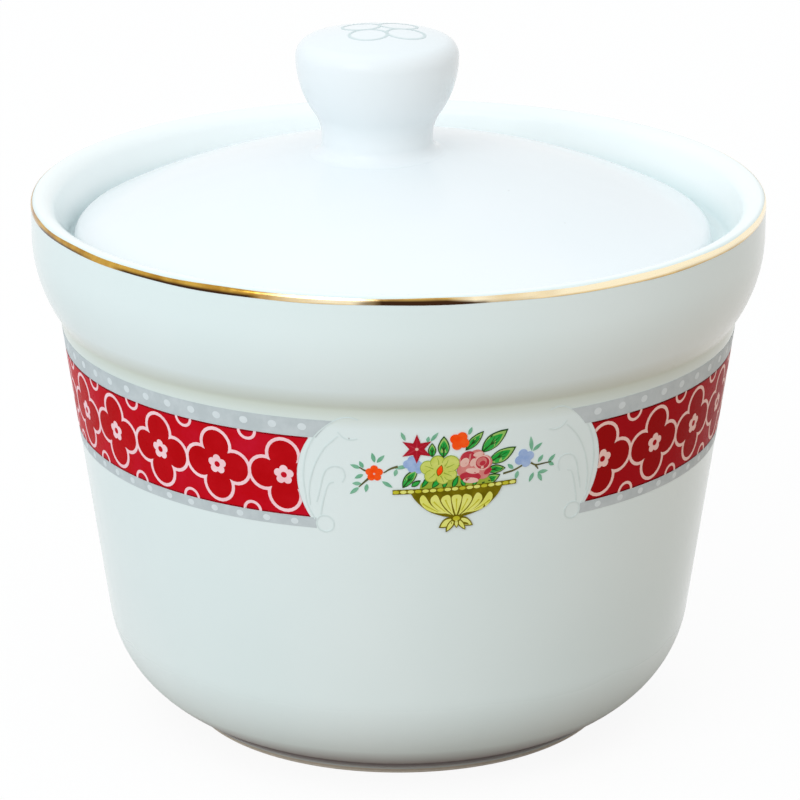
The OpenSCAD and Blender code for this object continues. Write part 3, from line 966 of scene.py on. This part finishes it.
def scrollwork():
    """The fine grey scrolls at the two ends of a cartouche."""
    art = Transfer(scroll_grey, coat=SCROLL_COAT)

    def scroll(side, *spots):
        placed = [(side * x, z) for x, z in spots]
        art.add(scroll_grey, Pen(*placed[0]).through(*placed[1:]).brushed(SCROLL_LINE))

    for side in (1, -1):
        scroll(side, (18.4, 12.8), (20.4, 13.3), (22.8, 12.5), (26.2, 9.6), (28.2, 6.3), (29.1, 3),
               (29.4, 0.4), (29.3, -2.4), (28.8, -6), (27.4, -9))
        scroll(side, (18.6, 8.8), (19.8, 8.5), (21.2, 8.9), (22.3, 10.1))
        scroll(side, (22.3, 9.2), (24.8, 6.7), (26.8, 3.2), (28, -0.5), (28.4, -3.2), (28.3, -6))
        scroll(side, (21.7, -0.6), (21.2, 0.7), (21.6, 2.2), (23, 2.7), (24.5, 2.1), (25.4, 0.6),
               (26.2, -2.5), (26.9, -5.2))
        scroll(side, (23.4, -0.7), (24.3, -1.1), (25.1, -2.9), (25.9, -6.1), (26.2, -7.9))
        art.add(scroll_grey, loop_line(side * 25.4, -9.8, 1.75, SCROLL_LINE))
    return art


def flower_basket():
    """A footed yellow basket heaped with flowers and leaves, with a sprig at each side."""
    art = Transfer(
        ochre, rim_gold, flute_yellow, dark_green, leaf_green, pale_green, star_red, orange, rose_pale,
        rose_pink, rose_deep, petal_lime, petal_edge, sky_blue, sprig_teal, stem_brown, coat=BASKET_COAT,
    )
    add = art.add

    def stroke(paint, width, end_width, *spots):
        add(paint, Pen(*spots[0]).through(*spots[1:], steps=4).brushed(width, end_width))

    def big_leaf(x, z, tip_x, tip_z, width, bend=0.0):
        """A leaf with a dark edge, a light margin, a green heart and dark veins."""
        base, along = Vector((x, z)), Vector((tip_x - x, tip_z - z))
        across = Vector((-along.y, along.x)).normalized()
        add(dark_green, leaf(x, z, tip_x, tip_z, width, bend))
        inner, point = base + along * 0.05, base + along * 0.93
        add(pale_green, leaf(*inner, *point, width - 0.42, bend))
        heart = base + along * 0.8
        add(leaf_green, leaf(*inner, *heart, (width - 0.4) * 0.86, bend))
        stroke(dark_green, 0.32, 0.08, inner, base + along * 0.4, base + along * 0.68)
        for side in (1, -1):
            root = base + along * 0.34
            stroke(dark_green, 0.3, 0.06, root, root + along * 0.24 + across * side * width * 0.24)

    def flute(x, z, top_x, top_z, width, bend):
        """A rounded flute that narrows to the basket's foot."""
        base, along = Vector((x, z)), Vector((top_x - x, top_z - z))
        across = Vector((-along.y, along.x)).normalized()
        sides = {}
        for side in (1, -1):
            sides[side] = [
                base + along * share + across * (side * swell * width + bend * math.sin(math.pi * share))
                for share, swell in ((0.3, 0.2), (0.6, 0.38), (0.85, 0.47), (0.97, 0.32))
            ]
        pen = Pen(x, z).through(*sides[1], (top_x, top_z), *sides[-1][::-1], (x, z), steps=4)
        add(flute_yellow, pen.filled())
        middle = base + along * 0.6 + across * bend
        stroke(rim_gold, 0.14, 0.34, base + along * 0.25 + across * bend * 0.7, middle, middle + along * 0.22)

    def blossom(paint, *spots):
        add(paint, lobed(*spots).filled())

    def sprig_leaf(x, z, tip_x, tip_z, width=0.8):
        add(sprig_teal, leaf(x, z, tip_x, tip_z, width))

    # The side sprigs
    for spots in (
        (-15.4, 3.9, -15.9, 6), (-15, 3.9, -13.5, 5.5), (-18.1, 2.6, -20.1, 3.3), (-17.6, 2.7, -18.3, 4.1),
        (-17.6, 1.3, -19.3, 0.4), (-18, -0.7, -19.8, -0.7), (-18.5, -1.5, -20.3, -3),
        (-16.9, -0.7, -17.2, -2.5), (-14, -0.1, -12, -1.4), (-11.6, 2.7, -8.8, 3.2), (-11.2, 2.5, -11.6, 1),
        (15.2, 4.6, 14.8, 7.8), (15.4, 4.6, 17.3, 6.1), (16.7, 2, 17.7, 3.5), (18.9, 1.6, 20.3, 3.2),
        (19, 1.6, 20.2, 0.9), (16.8, -0.2, 19, -0.1), (16.9, -0.3, 17.8, -2.2), (15.9, -0.1, 15.1, -2),
        (11.6, 1.3, 10.4, 2.4), (12.6, 0.7, 12.2, -1),
    ):
        sprig_leaf(*spots)
    for stem in (
        (0.5, 0.2, (-16.4, 0.7), (-17.4, -0.3), (-18.5, -1.4)),
        (0.5, 0.2, (-16.6, 2), (-17.4, 2.2), (-18.3, 2.8)),
        (0.2, 0.5, (-13.7, 1.7), (-12.4, 2.6), (-11, 3.1)),
        (0.4, 0.3, (9.6, 0.5), (11.8, 1), (13.8, 2)),
        (0.4, 0.2, (15.2, 2.1), (16.3, 1.5), (18, 1.6), (19.5, 1.7)),
        (0.4, 0.2, (16.1, 1.6), (16.8, 0.6)),
    ):
        stroke(stem_brown, *stem)
    blossom(orange, -15.5, 1.6, 5, 0.98, 0.74, 90)
    add(rose_pale, dot(-15.5, 1.5, 0.22))
    blossom(sky_blue, 13.8, 3.3, 4, 1.05, 0.95, 20)

    # Small sprays behind the heap
    for spots in (
        (-9.6, 8.6, -10.4, 10.4), (-4.8, 8.4, -3.4, 10.2), (2.4, 9.4, 3, 11), (-5.4, 8.2, -5.2, 9.4),
    ):
        sprig_leaf(*spots, 0.7)

    # The leaves round the heap
    for spots in (
        (5, 5.4, 10.1, 10, 2.9, 0.15), (6.4, 3.1, 11.9, 6, 2.8, -0.1), (1.9, 6.1, 5.3, 10, 1.9),
        (-2.3, 4.8, -2.3, 9.4, 2.3), (-4.5, 5, -4.5, 8, 1.6), (-10.1, -1.5, -7, 2.8, 2, 0.12),
        (6.2, 1.6, 10, 1.7, 1.9), (5.2, -1.2, 9, 0.4, 2.1),
    ):
        big_leaf(*spots)
    heap = Pen(-6.8, -1.9).through((-6.2, -0.3), (-3.4, 0.6), (0.6, 0.8), (4, 0), (6.4, 0.2), (7.4, -1.3))
    add(petal_edge, heap.line(-6.8, -1.9).filled())
    for x, z, tip_x, tip_z, width in (
        (-8.4, -1.2, -6.6, 0.1, 1.1), (-6.4, -1.5, -4.6, 1.4, 1), (-4.4, -1.6, -2.6, 0.8, 1.2),
        (-2.2, -1.7, -1.6, 0.4, 1), (-0.4, -1.7, 0.6, 0.8, 1.1), (2, -1.7, 1.2, 0.2, 0.9),
        (3.6, -1.6, 4.4, 0, 0.9),
    ):
        add(dark_green, leaf(x, z, tip_x, tip_z, width))
        add(leaf_green, leaf(x + 0.1, z + 0.2, tip_x - 0.1, tip_z - 0.25, width - 0.4))

    # The flowers
    blossom(sky_blue, -8.3, 3.6, 4, 0.85, 0.85, 0)
    blossom(sky_blue, -7, 2.9, 3, 0.6, 0.7, 30)
    add(star_red, star(-7.4, 6.8, 6, 3.1, 1.4))
    for number in range(6):
        aim = math.radians(90 + 60 * number)
        stroke(rose_deep, 0.22, 0.06, (-7.4 + 0.4 * math.cos(aim), 6.8 + 0.4 * math.sin(aim)),
               (-7.4 + 2.3 * math.cos(aim), 6.8 + 2.3 * math.sin(aim)))
    add(rose_pale, dot(-7.4, 6.8, 0.32))
    for x, z, size in (
        (-5.3, 2.8, 1.35), (-4.6, 1, 1.2), (-2.3, 0.5, 1.2), (-3.4, 3.9, 1.3), (-0.9, 1.2, 1.15),
        (-0.9, 3.5, 1.6),
    ):
        add(petal_edge, dot(x, z, size + 0.14))
        add(petal_lime, dot(x, z, size))
    add(petal_lime, dot(-3.1, 2.1, 1.7))
    for x, z, tip_x, tip_z in (
        (-4.2, 2.5, -5.8, 3.2), (-3.9, 1.5, -5, 0.5), (-2.8, 1, -2.2, -0.4), (-2.2, 1.6, -0.6, 0.8),
        (-3.2, 3.4, -3.5, 4.8), (-2, 3, -1.4, 4.4), (-1.7, 2.7, -0.2, 3.4),
    ):
        stroke(petal_edge, 0.26, 0.08, (x, z), ((x + tip_x) / 2 + 0.1, (z + tip_z) / 2), (tip_x, tip_z))
    add(ochre, leaf(-3.3, 0.9, -2.6, 3.4, 1.25))
    add(orange, leaf(-3.2, 1.1, -2.7, 3.2, 1))
    blossom(orange, 0.7, 8.2, 4, 0.95, 1, 62)

    # The rose, from its outer petals to its heart
    blossom(rose_pink, 3.8, 2.6, 6, 2.05, 1.5, 20)
    for x, z, size, stretch, tilt, paint in (
        (2.4, 4.6, 1.25, 1.2, 30, rose_deep), (1.8, 3.6, 0.8, 1.3, 60, rose_pale),
        (3, 0.5, 1.05, 2, -6, rose_deep), (3.1, -0.3, 0.6, 2.6, -4, rose_pale),
        (3.4, 1.7, 0.6, 2.3, -10, rose_pale), (5.2, 3.3, 1.65, 1, 0, rose_pale),
        (5.3, 3.3, 1.35, 1, 0, rose_deep), (5.1, 3.5, 0.95, 1.1, 40, rose_pink),
        (5.3, 3.2, 0.5, 1.2, 20, rose_deep), (3.4, 3.5, 0.55, 1.6, 70, rose_pale),
        (4.4, 5.2, 0.5, 2, 10, rose_pale), (6.4, 1.4, 0.5, 1.8, 40, rose_deep),
    ):
        add(paint, dot(x, z, size, stretch, tilt))

    # The basket's bowl with its flutes
    bowl = Pen(-8.7, -2.2)
    bowl.through((-7.4, -4.4), (-4.4, -6.9), (0.4, -8.1), (5.4, -6.7), (8.3, -4.2), (9.5, -2))
    add(ochre, bowl.line(-8.7, -2.2).filled())
    for side in (1, -1):
        for root, root_z, top, width, bend in (
            (1.85, -7.15, 6.95, 1.75, 1.02), (0.9, -7.5, 4.65, 1.95, 0.66), (0.4, -7.7, 2.3, 2.05, 0.27),
        ):
            flute(0.45 + side * root, root_z, 0.45 + side * top, -3.3, width, -side * bend)
    flute(0.45, -7.8, 0.45, -3.2, 2.1, 0)
    # Its beaded rim
    add(ochre, Pen(-12, -2.9).line(12.3, -1.9).line(12.3, -0.95).line(-12, -1.95).line(-12, -2.9).filled())
    for number in range(17):
        paint = flute_yellow if number % 3 else rim_gold
        add(paint, dot(-11.35 + number * 1.43, -2.38 + number * 0.059, 0.36, 1.75, 2.4))
    # The bow that serves as its foot
    for x, z, tip_x, tip_z, width in (
        (0.3, -8.2, -2.9, -10.2, 1.9), (0.7, -8.2, 3.9, -10, 1.8), (0.2, -8.3, -1.5, -11.2, 1.3),
        (0.7, -8.3, 2.4, -10.9, 1.2), (0.5, -8.2, 0.6, -10.4, 1.1),
    ):
        add(ochre, leaf(x, z, tip_x, tip_z, width))
        wide, tall = tip_x - x, tip_z - z
        add(flute_yellow, leaf(x + wide * 0.12, z + tall * 0.12, x + wide * 0.9, z + tall * 0.9, width - 0.5))
    add(ochre, dot(0.5, -8.3, 0.8, 1.3))
    add(rim_gold, dot(0.5, -8.3, 0.5, 1.4))
    return art


for hand, facing in (("front", 0), ("rear", 180)):
    bed = on_wall(facing)
    add_painting(f"basket_{hand}_painted", flower_basket(), bed, "bowl", "basket_enamel", f"basket_{hand}")
    add_painting(f"scrollwork_{hand}", scrollwork(), bed, "bowl", "grey_enamel")


# The floor, the light and the camera

WHITE = 1, 1, 1, 1
FLOOR_HALF = 3
FLOOR_DROP = 0.0002
FLOOR_GLOW = 0.91
UNDER_BOWL = 0.05, 0.11
LOW_SKY = 0, 0.3
LAMP_AIM = Vector((0, 0, 0.07))
CAMERA_TURN = math.radians(-9.2)
CAMERA_TILT = math.radians(18.594)
CAMERA_REACH = 0.80513
CAMERA_HEIGHT = 0.33598

scene = bpy.context.scene
scene.view_settings.view_transform = "Standard"


def background_share(tree):
    """One for the rays that should see a white background."""
    path = tree.nodes.new("ShaderNodeLightPath").outputs
    seen = sums(tree, "MAXIMUM", path["Is Camera Ray"], path["Is Glossy Ray"])
    return sums(tree, "MAXIMUM", seen, path["Is Transmission Ray"])


def white_floor():
    material = bpy.data.materials.new("floor white")
    tree = blank_tree(material)
    seen = background_share(tree)
    # Painted shade for bounced light: diffuse rays find the floor dark and brown just under the bowl, and
    # darker and warmer at the right
    place = tree.nodes.new("ShaderNodeTexCoord").outputs["Object"]
    reach = vectors(tree, "LENGTH", place)["Value"]
    along = split(tree, place)["X"]
    open_floor_bounce = mixed(tree, ramp(tree, along, -0.15, 0.15), colour(208, 208, 208), colour(186, 160, 138))
    near = mixed(tree, ramp(tree, along, -0.06, 0.06), colour(198, 186, 176), colour(122, 100, 82))
    floor_bounce = mixed(tree, ramp(tree, reach, *UNDER_BOWL), near, open_floor_bounce)
    plain = add_node(tree, "ShaderNodeBsdfDiffuse", {"Color": mixed(tree, seen, floor_bounce, WHITE)})
    glow = add_node(tree, "ShaderNodeEmission", {"Color": WHITE, "Strength": 1})
    share = sums(tree, "MULTIPLY", seen, FLOOR_GLOW)
    both = add_node(tree, "ShaderNodeMixShader", {0: share, 1: plain.outputs[0], 2: glow.outputs[0]})
    add_node(tree, "ShaderNodeOutputMaterial", {"Surface": both.outputs[0]})
    mesh = bmesh.new()
    bmesh.ops.create_grid(mesh, x_segments=2, y_segments=2, size=FLOOR_HALF)
    bmesh.ops.translate(mesh, vec=(0, 0, -FLOOR_DROP), verts=mesh.verts)
    floor = put_mesh("floor", mesh, [material])


def studio_world():
    world = bpy.data.worlds.new("white studio")
    tree = blank_tree(world)
    # Near the horizon, cool light from a window at the left and a dimmer, warmer room at the right
    way = split(tree, tree.nodes.new("ShaderNodeTexCoord").outputs["Generated"])
    seen = background_share(tree)
    side = sums(tree, "MULTIPLY", way["X"], ramp(tree, way["Z"], *LOW_SKY, 1, 0))
    room = mixed(tree, ramp(tree, side, -1, 1), (0.88, 0.94, 1.03, 1), (1, 0.95, 0.88, 1))
    tint = mixed(tree, ramp(tree, way["Z"], *LOW_SKY), room, (0.94, 0.965, 0.975, 1))
    fall = sums(tree, "MULTIPLY", side, 0.32)
    light = sums(tree, "SUBTRACT", ramp(tree, way["Z"], 0, 0.6, 0.63, 0.98), fall)
    sky = add_node(tree, "ShaderNodeBackground", {
        "Color": mixed(tree, seen, tint, WHITE),
        "Strength": add_node(tree, "ShaderNodeMix", {0: seen, 2: light, 3: 1}).outputs[0],
    })
    add_node(tree, "ShaderNodeOutputWorld", {"Surface": sky.outputs[0]})
    scene.world = world


def add_lamp(name, place, size, power, tint):
    data = bpy.data.lights.new(name, "AREA")
    data.shape = "DISK"
    data.size = size
    data.energy = power
    data.color = tint
    lamp = put(name, data)
    lamp.location = place
    lamp.rotation_euler = (LAMP_AIM - Vector(place)).to_track_quat("-Z", "Y").to_euler()


white_floor()
studio_world()
add_lamp("key", (-0.85, -1.1, 0.95), 1.1, 7.4, (0.95, 0.985, 1))

lens = bpy.data.cameras.new("camera")
lens.sensor_width = 36
lens.lens = 183.66
lens.shift_x = 0.0019
camera = put("camera", lens)
camera.location = (
    math.sin(CAMERA_TURN) * CAMERA_REACH, -math.cos(CAMERA_TURN) * CAMERA_REACH, CAMERA_HEIGHT,
)
camera.rotation_euler = (math.pi / 2 - CAMERA_TILT, 0, CAMERA_TURN)
scene.camera = camera
